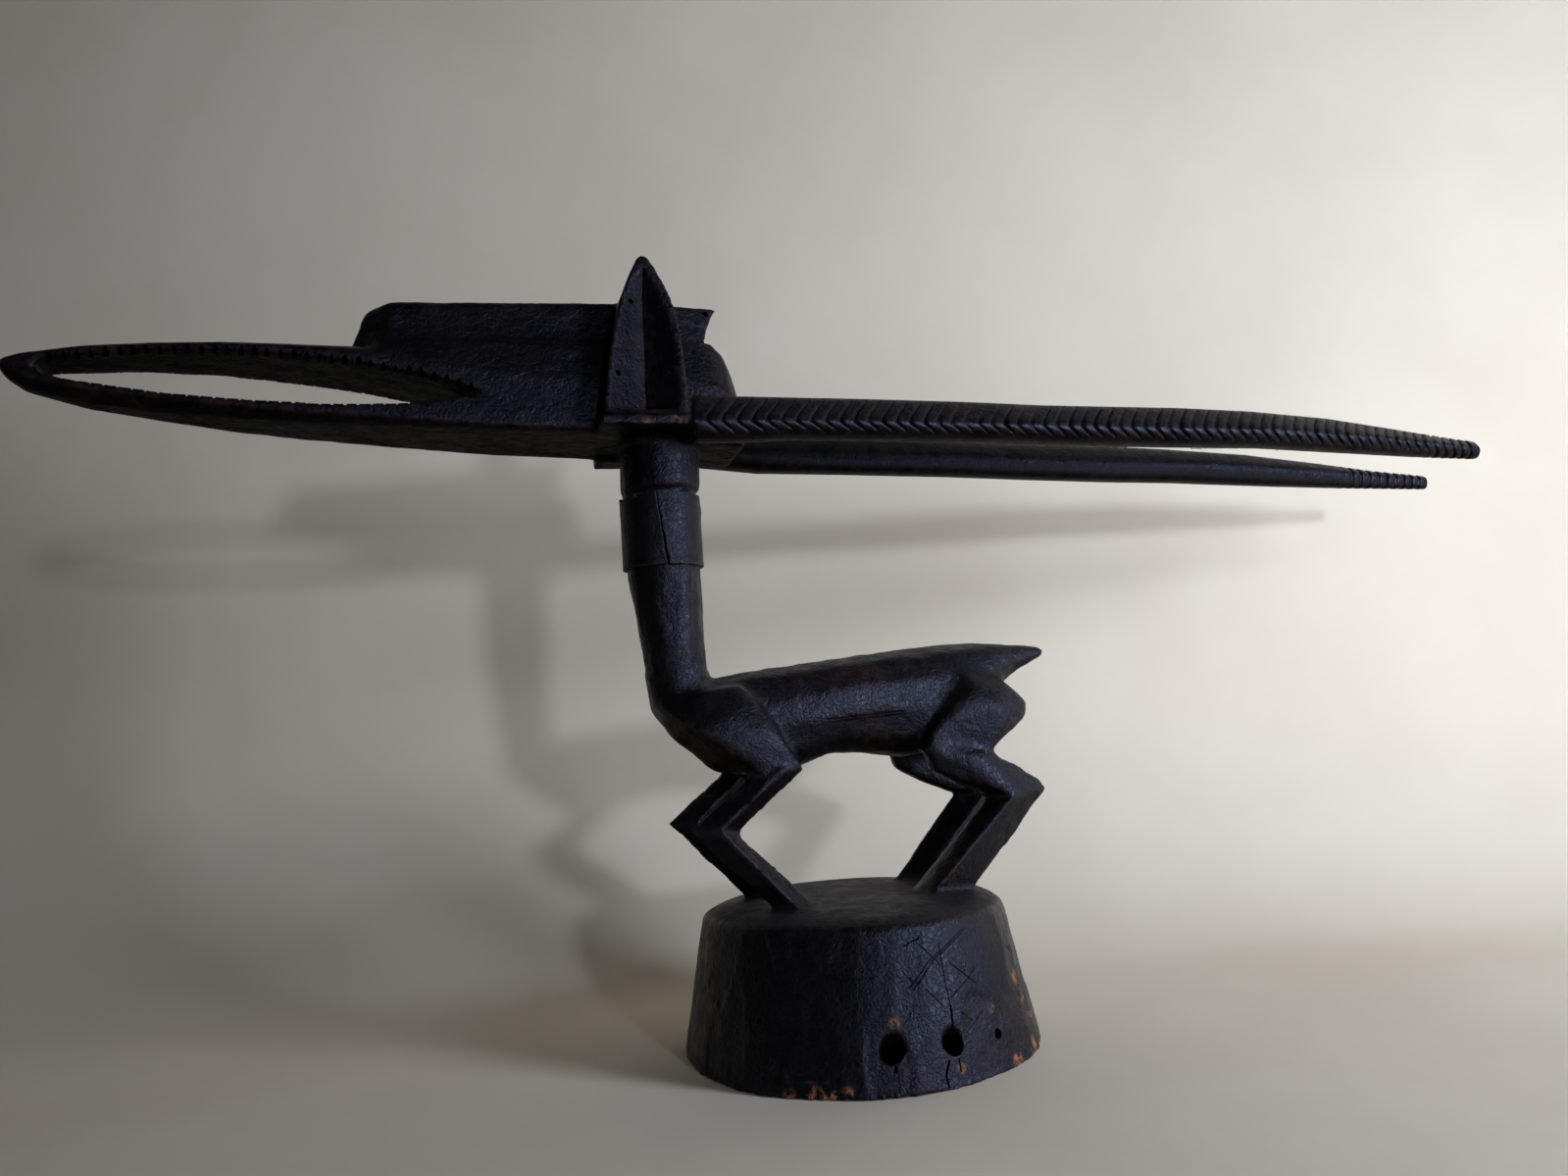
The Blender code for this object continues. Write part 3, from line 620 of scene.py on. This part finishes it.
horn = {
    "pitch": 6.92,            # chevrons along the horn
    "depth": 1.0,
    "swell": 0.4,             # makes up for what the rounded section loses
    "sink": 0.3,              # hairline left round the horn's root
    "start": -71.5,
    "wornPlaces": ((62.0, 9.0, 0.55), (92.0, 8.0, 0.45)),     # where the cuts are rubbed shallow: place, reach, share
    "ringedFrom": 338.0,      # past here the cuts run right round
    "tips": {"near": 382.5, "far": 409.0},
    "top": ((-78.0, 286.0), (-70.0, 291.6), (15.0, 290.9), (66.0, 290.0), (109.0, 288.6), (185.0, 287.6),
            (226.0, 286.2), (278.0, 283.0), (328.0, 277.4), (367.0, 272.6), (412.0, 268.6)),
    "bottomNear": ((-70.0, 271.0), (-50.0, 271.0), (-22.0, 272.4), (13.0, 272.0), (84.0, 270.8), (128.0, 269.4),
                   (180.0, 268.2), (230.0, 267.6), (288.0, 265.2), (335.0, 263.4), (412.0, 261.6)),
    "bottomFar": ((-70.0, 275.4), (-50.0, 275.4), (-22.0, 272.4), (13.0, 272.0), (84.0, 270.8), (128.0, 269.4),
                  (180.0, 268.2), (230.0, 267.6), (288.0, 265.2), (335.0, 263.4), (412.0, 261.6)),
    "ridge": ((-70.0, 278.4), (10.0, 278.2), (100.0, 276.6), (176.0, 275.2), (235.0, 274.6), (300.0, 272.0),
              (350.0, 269.0), (412.0, 264.8)),
    "centre": ((-70.0, 26.0), (14.0, 27.4), (108.0, 29.4), (184.0, 31.8), (233.0, 32.8), (289.0, 32.0),
               (331.0, 31.0), (412.0, 30.0)),
    "inward": ((-70.0, 10.5), (-36.0, 9.8), (10.0, 7.8), (100.0, 7.8), (240.0, 7.3), (300.0, 6.4), (350.0, 4.8),
               (412.0, 2.9)),
    "thick": ((-78.0, 5.0), (-70.0, 9.2), (100.0, 9.2), (240.0, 8.6), (300.0, 7.6), (350.0, 5.6), (412.0, 3.4)),
}


def readTable(table, x):
    return float(np.interp(x, [row[0] for row in table], [row[1] for row in table]))


def leanHead(piece):
    pivot = Vector((0.0, 0.0, head["leanHeight"] * mm))
    turn = Matrix.Rotation(math.radians(head["lean"]), 4, "X")
    piece.data.transform(Matrix.Translation(pivot) @ turn @ Matrix.Translation(-pivot))


def roundedRing(corners, rounds):
    # corner cutting: a closed outline whose corners are pared off
    for step in range(rounds):
        pared = []
        for first, second in zip(corners, corners[1:] + corners[:1]):
            pared.append(first.lerp(second, 0.22))
            pared.append(first.lerp(second, 0.78))
        corners = pared
    return corners


def hornRing(along, side, bottom, grow, groove, rings):
    # sheared across the horn, so that a ring runs along a chevron: its apex on the ridge points to the head
    slant = 0.95 * (readTable(horn["top"], along) - readTable(horn["ridge"], along))
    lean = slant * min(1.0, (along + 78.0) / 14.0, (horn["tips"][side] - along) / 28.0)
    over, under = along + lean, along + 0.8 * lean
    half, upperHalf = readTable(horn["thick"], along), readTable(horn["thick"], over)
    middle, upperMiddle = readTable(horn["centre"], along), readTable(horn["centre"], over)
    ridge, top, low = readTable(horn["ridge"], along), readTable(horn["top"], over), readTable(bottom, under)
    corners = [
        Vector((along, middle + half + grow, ridge)),
        Vector((0.5 * (along + under), middle + 0.86 * half + grow, 0.45 * ridge + 0.55 * low)),
        Vector((under, middle + 0.45 * half + 0.5 * grow, low - grow)),
        Vector((under, middle - 0.55 * half, low - grow)),
        Vector((over, upperMiddle - readTable(horn["inward"], over) - grow, readTable(horn["ridge"], over) + 1.5)),
        Vector((over, upperMiddle - 0.2 * upperHalf, top + grow)),
        Vector((over, upperMiddle + 0.2 * upperHalf, top + grow)),
    ]
    ring = roundedRing(corners, 2)
    axis = Vector((0.0, middle - 0.1 * half, ridge))
    cut = []
    for point in ring:
        outer = (point.y - middle) / half
        # the carved face: from just over the bottom edge up to the top edge, on the outer side
        carved = min(1.0, max(0.0, (outer - 0.1) / 0.25)) * min(1.0, max(0.0, (point.z - low - 1.6) / 1.4))
        carved = max(carved, rings)
        inward = Vector((0.0, axis.y - point.y, axis.z - point.z)).normalized()
        cut.append(point + inward * groove * carved)
    return cut


def hornStops(side):
    # along the horn, for every chevron: the bottom of its groove, then its lip, the band and the next groove's start
    profile = ((0.0, 1.0), (0.07, 0.75), (0.15, 0.15), (0.21, -0.15), (0.36, -0.12), (0.58, -0.06), (0.76, -0.02),
               (0.86, 0.25), (0.93, 0.7))
    random = np.random.default_rng(12)
    stops = []
    count = int((horn["tips"][side] - horn["start"]) / horn["pitch"])
    for index in range(count):
        at = horn["start"] + index * horn["pitch"]
        worn = 1.0 - sum(share * math.exp(-((at - spot) / reach) ** 2) for spot, reach, share in horn["wornPlaces"])
        deep = worn * (0.75 + 0.4 * random.random())
        shift = 0.5 * (random.random() - 0.5)
        for share, amount in profile:
            stops.append((at + shift * (1.0 - abs(2.0 * share - 1.0)) + share * horn["pitch"], amount * deep))
    stops.append((horn["start"] + count * horn["pitch"], 0.0))
    return stops


def makeHorn(side, sign, name, grow=0.0, carved=True):
    bottom = horn["bottomNear"] if side == "near" else horn["bottomFar"]
    stops = hornStops(side)
    if not carved:
        stops = [(at, 0.0) for at, amount in stops[1::9]] + [(horn["tips"][side] + 12.0, 0.0)]
    rings = []
    for at, amount in stops:
        wrapped = 1.0 if at > horn["ringedFrom"] else 0.0
        ring = hornRing(at, side, bottom, grow, amount * horn["depth"], wrapped)
        rings.append([Vector((point.x, sign * point.y, point.z)) * mm for point in ring])
    around = len(rings[0])
    deselectAll()
    bpy.ops.mesh.primitive_grid_add(x_subdivisions=len(rings) - 1, y_subdivisions=around, size=2.0)
    piece = bpy.context.object
    piece.name = name
    for vertex in piece.data.vertices:
        row = round((vertex.co.x + 1.0) / 2.0 * (len(rings) - 1))
        column = round((vertex.co.y + 1.0) / 2.0 * around) % around
        vertex.co = rings[row][column]
    pick(piece)
    bpy.ops.object.mode_set(mode="EDIT")
    bpy.ops.mesh.select_all(action="SELECT")
    bpy.ops.mesh.remove_doubles(threshold=0.000001)
    bpy.ops.mesh.select_all(action="DESELECT")
    bpy.ops.mesh.select_mode(type="EDGE")
    bpy.ops.mesh.select_non_manifold()
    bpy.ops.mesh.fill_holes(sides=0)
    bpy.ops.mesh.select_all(action="SELECT")
    bpy.ops.mesh.normals_make_consistent(inside=False)
    bpy.ops.object.mode_set(mode="OBJECT")
    leanHead(piece)
    return piece


def leanPoint(point):
    pivot = Vector((0.0, 0.0, head["leanHeight"]))
    return pivot + Matrix.Rotation(math.radians(head["lean"]), 3, "X") @ (Vector(point) - pivot)


def toothNotch(x, sign, edge, upward, notch):
    # a wedge cut with a knife across the mouth's edge: wide on the side of the head, nothing further in
    half = readTable(head["mouthWidth"], x)
    wide, tall, reach = notch
    points = []
    for depth, share in ((half + 1.5, 1.2), (half - reach, 0.4)):
        for dx, dz in ((-wide, -0.9), (wide, -0.9), (0.3 * wide, tall)):
            points.append(leanPoint((x + dx * share, sign * depth, edge + upward * dz * share)) * mm)
    return points, [(0, 1, 2), (3, 5, 4), (0, 3, 4, 1), (1, 4, 5, 2), (2, 5, 3, 0)]


def toothRow(sign, upward):
    name, notch = ("mouthTop", head["upperNotch"]) if upward > 0.0 else ("mouthBottom", head["lowerNotch"])
    random = np.random.default_rng(31 if upward > 0.0 else 32)
    parts = []
    x = -322.5
    while x < -158.0:
        deep = 0.8 + 0.35 * random.random()
        cut = (notch[0] * deep, notch[1] * deep * head["notchShare"][sign], notch[2] * head["reachShare"][sign])
        parts.append(toothNotch(x + 0.6 * (random.random() - 0.5), sign, readTable(head[name], x), upward, cut))
        x += head["toothPitch"]
    return joinParts(parts)


def earCut(sign, side):
    # the hollow's three-sided wedge, drawn past the ear's face with the same slopes, in cells of about a millimetre
    points, faces, reach, cells = [], [], 1.8, 12
    table = np.array(head["earHollow"])
    heights = np.linspace(table[0, 0], table[-1, 0], 60)
    for height in heights:
        left, valley, right, depth = (float(np.interp(height, table[:, 0], table[:, row])) for row in range(1, 5))
        face = head["earFaces"][side] - 0.085 * (height - 280.0)
        depth += 0.25
        for edge, ways in ((left, range(cells)), (right, range(cells, -1, -1))):
            for way in ways:
                out = 1.0 - way / cells
                x = valley + (edge - valley) * reach * out
                points.append(leanPoint((x, sign * (face - depth + depth * reach * out), height)) * mm)
    around = 2 * cells + 1
    for step in range(len(heights) - 1):
        for index in range(around):
            near, after = step * around + index, step * around + (index + 1) % around
            faces.append((near, after, after + around, near + around))
    faces += [tuple(range(around)), tuple(range(len(points) - around, len(points)))]
    return points, faces


def headWear(places):
    # the ears, their shelves and the crest's rear tip stay crisp
    x, y = places[:, 0] / mm, np.abs(places[:, 1]) / mm
    crisp = ((x > -112.0) & (x < -68.0) & (y > 20.0)) | ((x > -56.0) & (places[:, 2] > 325.0 * mm))
    return np.where(crisp, 0.2, 0.8)


def headFaceted(places):
    x, y = places[:, 0] / mm, np.abs(places[:, 1]) / mm
    return ~((x > -112.0) & (x < -68.0) & (y > 17.0)) & (x > -325.0)


def headWrinkles(places):
    # the skull and crest are wrinkled, the jaws only a little
    return 0.4 + 0.6 * np.clip((places[:, 0] / mm + 230.0) / 40.0, 0.0, 1.0)


def makeHead():
    piece = copyOfNode("head", "carvedHead")
    for side, sign in (("near", -1.0), ("far", 1.0)):
        cutter = makeHorn(side, sign, "cutter", grow=horn["swell"] + 0.35 + horn["sink"], carved=False)
        away = piece.modifiers.new("hornAway", "BOOLEAN")
        away.operation = "DIFFERENCE"
        away.solver = "EXACT"
        away.object = cutter
        applyAll(piece)
        bpy.data.objects.remove(cutter)
    evenSkin(piece, head["voxel"])
    rubDown(piece, head["rounds"], headWear)
    adzeFacets(piece, head["facets"], headFaceted)
    rubDown(piece, 1, lambda places: np.ones(len(places)))
    wrinkle(piece, 4.5, 0.25, headWrinkles)
    parts = [toothRow(sign, upward) for sign in (-1.0, 1.0) for upward in (1.0, -1.0)]
    parts += [earCut(-1.0, "near"), earCut(1.0, "far")]
    for stops in head["sideLines"]:
        path, outward = lineOnSurface(piece, stops, acrossBody)
        parts.append(bevelStrip(path, outward, 0.6 * mm, 0.4))
    for x, y, z, radius in head["pits"]:
        struck, spot, normal, face = piece.ray_cast(Vector((x, y - 30.0, z)) * mm, Vector((0.0, 1.0, 0.0)))
        parts.append(drillPart(Vector((x, spot.y / mm - 4.0, z)), Vector((x, spot.y / mm + 3.5, z)), radius, 12))
    cutAway(piece, parts)
    keepInside(piece, "head")
    markRelief(piece, 8, 0.9)
    return piece


headLook = dict(bodyLook)
headLook.update({
    "grainScale": (1.0 / (24.0 * mm), 1.0 / (1.6 * mm), 1.0 / (1.6 * mm)),
    "crazeSize": 3.2, "crazeDepth": 0.35, "dustHeights": (0.0, 1.0), "hollowAmount": 0.25, "specular": 0.18,
    # red brown along the lower jaw, dirt in the ears and on the skull behind the jaw
    "redSpots": ((-310.0, -9.0, 297.0, 12.0), (-285.0, -12.0, 292.0, 14.0), (-258.0, -14.0, 290.0, 12.0),
                 (-337.0, -6.0, 308.0, 7.0), (-300.0, -12.0, 313.0, 8.0), (-87.0, -22.0, 292.0, 7.0),
                 (-86.5, -23.0, 306.0, 6.0), (-86.0, -23.0, 320.0, 6.0), (-88.0, -31.0, 282.0, 9.0),
                 (-50.0, -18.0, 300.0, 12.0)),
    "tanSpots": ((-106.0, -38.0, 280.5, 3.5), (-77.0, -38.0, 280.0, 4.5), (-90.0, -38.0, 279.0, 4.0),
                 (-340.5, -3.0, 309.0, 3.5)),
})

hornLook = dict(headLook)
hornLook.update({
    "crazeDepth": 0.15, "grainDepth": 0.15, "lumpDepth": 0.3, "hollowAmount": 0.4, "dust": "#2C2723",
    "edge": "#201B19", "edgeAmount": 0.5, "specular": 0.24,
    "redSpots": ((62.0, -35.0, 289.0, 11.0), (92.0, -36.0, 288.0, 9.0), (20.0, -35.0, 286.0, 9.0),
                 (392.0, -32.0, 268.0, 12.0), (374.0, 30.0, 268.0, 10.0)),
    "tanSpots": ((61.0, -36.0, 288.0, 4.5), (90.0, -37.0, 288.0, 4.5), (405.0, 31.0, 266.0, 3.0)),
})

headWood = makePatina("patinatedWoodHead", headLook)
hornWood = makePatina("patinatedWoodHorn", hornLook)
carvedHead = makeHead()
finishPiece(carvedHead, "head", headWood)
print("head carved:", len(carvedHead.data.polygons), "faces")

for hornSide, hornSign, hornName in (("near", -1.0, "nearHorn"), ("far", 1.0, "farHorn")):
    hornPiece = makeHorn(hornSide, hornSign, hornName, grow=horn["swell"])
    keepInside(hornPiece, "head")
    markRelief(hornPiece, 3, 0.5)
    finishPiece(hornPiece, "head", hornWood)
    print(hornName, "carved:", len(hornPiece.data.polygons), "faces")


# The hide collar over the joint of head and neck

band = {
    "axisX": -79.2,
    "inner": 17.2,
    "thickness": 1.5,
    "bottom": 219.0,
    "top": 252.6,
    "seam": -94.5,            # where the open seam stands at the bottom, degrees; it leans by seamLean to the top
    "seamLean": -12.0,
    "seamGap": (3.4, 1.2),    # degrees at the bottom and at the top
    "around": 160,
    "levels": 36,
}


def makeBand():
    deselectAll()
    bpy.ops.mesh.primitive_grid_add(x_subdivisions=band["around"], y_subdivisions=band["levels"], size=2.0)
    piece = bpy.context.object
    piece.name = "hideCollar"
    wave = [(3.0, 0.4, 0.35), (7.0, 1.9, 0.2), (13.0, 0.7, 0.12), (29.0, 2.6, 0.07)]
    for vertex in piece.data.vertices:
        share = (vertex.co.x + 1.0) / 2.0
        climb = (vertex.co.y + 1.0) / 2.0
        gap = band["seamGap"][0] + (band["seamGap"][1] - band["seamGap"][0]) * climb
        ragged = 0.8 * math.sin(23.0 * climb) + 0.5 * math.sin(51.0 * climb + 1.0)
        seam = band["seam"] + band["seamLean"] * climb + 0.5 * ragged
        turn = math.radians(seam + 0.5 * gap + (360.0 - gap) * share)
        edge = sum(size * math.sin(count * turn + phase) for count, phase, size in wave)
        top = band["top"] - 0.6 + edge - 2.2 * math.exp(-((math.cos(turn) + 0.97) / 0.05) ** 2) * (math.sin(turn) < 0)
        height = band["bottom"] + (top - band["bottom"]) * climb + 0.25 * edge * (1.0 - climb)
        fold = 0.45 * math.exp(-((climb - 0.78) / 0.08) ** 2) + 0.25 * math.exp(-((climb - 0.03) / 0.05) ** 2)
        dent = 0.22 * math.sin(3.0 * turn + 4.0 * climb) + 0.12 * math.sin(8.0 * turn - 9.0 * climb)
        lip = 0.25 * math.exp(-(min(share, 1.0 - share) / 0.012) ** 2)
        radius = band["inner"] + band["thickness"] + fold * (0.6 + 0.4 * math.cos(turn)) + 0.3 * dent + lip - 0.35
        vertex.co = Vector((band["axisX"] + radius * math.cos(turn), radius * math.sin(turn), height)) * mm
    pick(piece)
    bpy.ops.object.mode_set(mode="EDIT")
    bpy.ops.mesh.select_all(action="SELECT")
    bpy.ops.mesh.normals_make_consistent(inside=False)
    bpy.ops.object.mode_set(mode="OBJECT")
    middle = piece.data.polygons[len(piece.data.polygons) // 2]
    outwards = middle.normal.dot(middle.center - Vector((band["axisX"] * mm, 0.0, middle.center.z))) > 0.0
    wall = piece.modifiers.new("wall", "SOLIDIFY")
    wall.thickness = band["thickness"] * mm
    wall.offset = -1.0 if outwards else 1.0
    soft = piece.modifiers.new("softEdge", "BEVEL")
    soft.width = 0.35 * mm
    soft.segments = 2
    soft.limit_method = "ANGLE"
    applyAll(piece)
    keepInside(piece, "neck_band")
    markRelief(piece, 4, 0.5)
    return piece


bandLook = dict(bodyLook)
bandLook.update({
    "deep": "#0B090A", "mid": "#110E0F", "warm": "#171110", "edge": "#3A302A",
    "grainScale": (1.0 / (2.5 * mm), 1.0 / (2.5 * mm), 1.0 / (3.5 * mm)),
    "crazeSize": 2.2, "crazeDepth": 0.3, "grainDepth": 0.2, "lumpSize": 1.8, "rough": (0.34, 0.5),
    "edgeAmount": 0.9, "hollowAmount": 0.2, "dustHeights": (0.0, 1.0),
    "redSpots": ((-83.0, -18.5, 222.0, 8.0), (-96.0, -9.0, 240.0, 6.0)),
    "tanSpots": ((-94.0, -12.0, 252.0, 3.0),),
})

darkHide = makePatina("smokedHide", bandLook)
hideCollar = makeBand()
finishPiece(hideCollar, "neck_band", darkHide)
print("collar made:", len(hideCollar.data.polygons), "faces")


# Paper floor that curves up behind, a window on the right and a lamp far behind the camera

studio = {
    "backdrop": 235.0,        # how far the paper stands behind the object
    "curve": 140.0,
    "halfWidth": 2600.0,
    "height": 1500.0,
    "front": -2600.0,
    "paper": "#E9DFC8",
    "stain": "#D8CDB4",
    "paperRoughness": 0.85,
    "window": {"place": (980.0, -560.0, 390.0), "size": (260.0, 420.0), "aim": (60.0, 0.0, 150.0), "spread": 180.0,
               "power": 12.5, "tint": "#D8E0F8"},
    "lamp": {"place": (1180.0, -2500.0, 430.0), "size": (170.0, 170.0), "aim": (330.0, 235.0, 190.0), "spread": 45.0,
             "power": 1.7, "tint": "#D8E0F8"},
    "sky": "#C8CCD4",
    "skyStrength": 0.03,
}


def makePaper():
    # one sheet: floor, a quarter curve and the wall, seen only from its front
    deselectAll()
    bpy.ops.mesh.primitive_grid_add(x_subdivisions=1, y_subdivisions=40, size=2.0)
    paper = bpy.context.object
    paper.name = "paperSweep"
    bend = studio["curve"]
    for vertex in paper.data.vertices:
        across = vertex.co.x * studio["halfWidth"]
        share = (vertex.co.y + 1.0) / 2.0
        if share < 0.3:
            y, z = studio["front"] + (studio["backdrop"] - bend - studio["front"]) * share / 0.3, 0.0
        elif share < 0.7:
            turn = (share - 0.3) / 0.4 * 0.5 * math.pi
            y = studio["backdrop"] - bend + bend * math.sin(turn)
            z = bend - bend * math.cos(turn)
        else:
            y, z = studio["backdrop"], bend + (studio["height"] - bend) * (share - 0.7) / 0.3
        vertex.co = turnToObject((across, y, z)) * mm
    material = bpy.data.materials.new("paleCard")
    material.use_nodes = True
    tree = material.node_tree
    shader = tree.nodes["Principled BSDF"]
    place = addNode(tree, "TexCoord").outputs["Object"]
    stain = addNode(tree, "TexNoise", {"Scale": 6.0, "Detail": 4.0}, {"Vector": place})
    tone = addNode(tree, "Mix", {"data_type": "RGBA", 6: colour(studio["paper"]), 7: colour(studio["stain"])},
                   {0: addNode(tree, "MapRange", ramp(0.3, 0.7, 0.0, 0.5), {"Value": stain})})
    tree.links.new(tone.outputs[2], shader.inputs["Base Color"])
    shader.inputs["Roughness"].default_value = studio["paperRoughness"]
    # clear from behind, so that the object can be seen from the back
    behind = addNode(tree, "NewGeometry").outputs["Backfacing"]
    both = addNode(tree, "MixShader", None, {0: behind, 1: shader, 2: addNode(tree, "BsdfTransparent")})
    tree.links.new(both.outputs[0], tree.nodes["Material Output"].inputs["Surface"])
    paper.data.materials.append(material)
    pick(paper)
    bpy.ops.object.shade_smooth()
    toCamera = turnToObject((0.0, -1.0, 0.0))
    wall = paper.data.polygons[-1]
    if wall.normal.dot(toCamera) < 0.0:
        bpy.ops.object.mode_set(mode="EDIT")
        bpy.ops.mesh.select_all(action="SELECT")
        bpy.ops.mesh.flip_normals()
        bpy.ops.object.mode_set(mode="OBJECT")


def makeLight(name, light):
    bpy.ops.object.light_add(type="AREA")
    lamp = bpy.context.object
    lamp.name = name
    lamp.data.shape = "RECTANGLE"
    lamp.data.size = light["size"][0] * mm
    lamp.data.size_y = light["size"][1] * mm
    lamp.data.energy = light["power"]
    lamp.data.color = colour(light["tint"])[:3]
    lamp.data.spread = math.radians(light["spread"])
    place = turnToObject(light["place"]) * mm
    aim = turnToObject(light["aim"]) * mm - place
    lamp.matrix_world = Matrix.Translation(place) @ aim.to_track_quat("-Z", "Y").to_matrix().to_4x4()


def makeSky():
    world = bpy.data.worlds.new("studioAir")
    bpy.context.scene.world = world
    world.use_nodes = True
    air = world.node_tree.nodes["Background"]
    air.inputs["Color"].default_value = colour(studio["sky"])
    air.inputs["Strength"].default_value = studio["skyStrength"]


bpy.context.scene.view_settings.view_transform = "Standard"
makePaper()
makeLight("windowLight", studio["window"])
makeLight("cameraLamp", studio["lamp"])
makeSky()
print("studio lit")
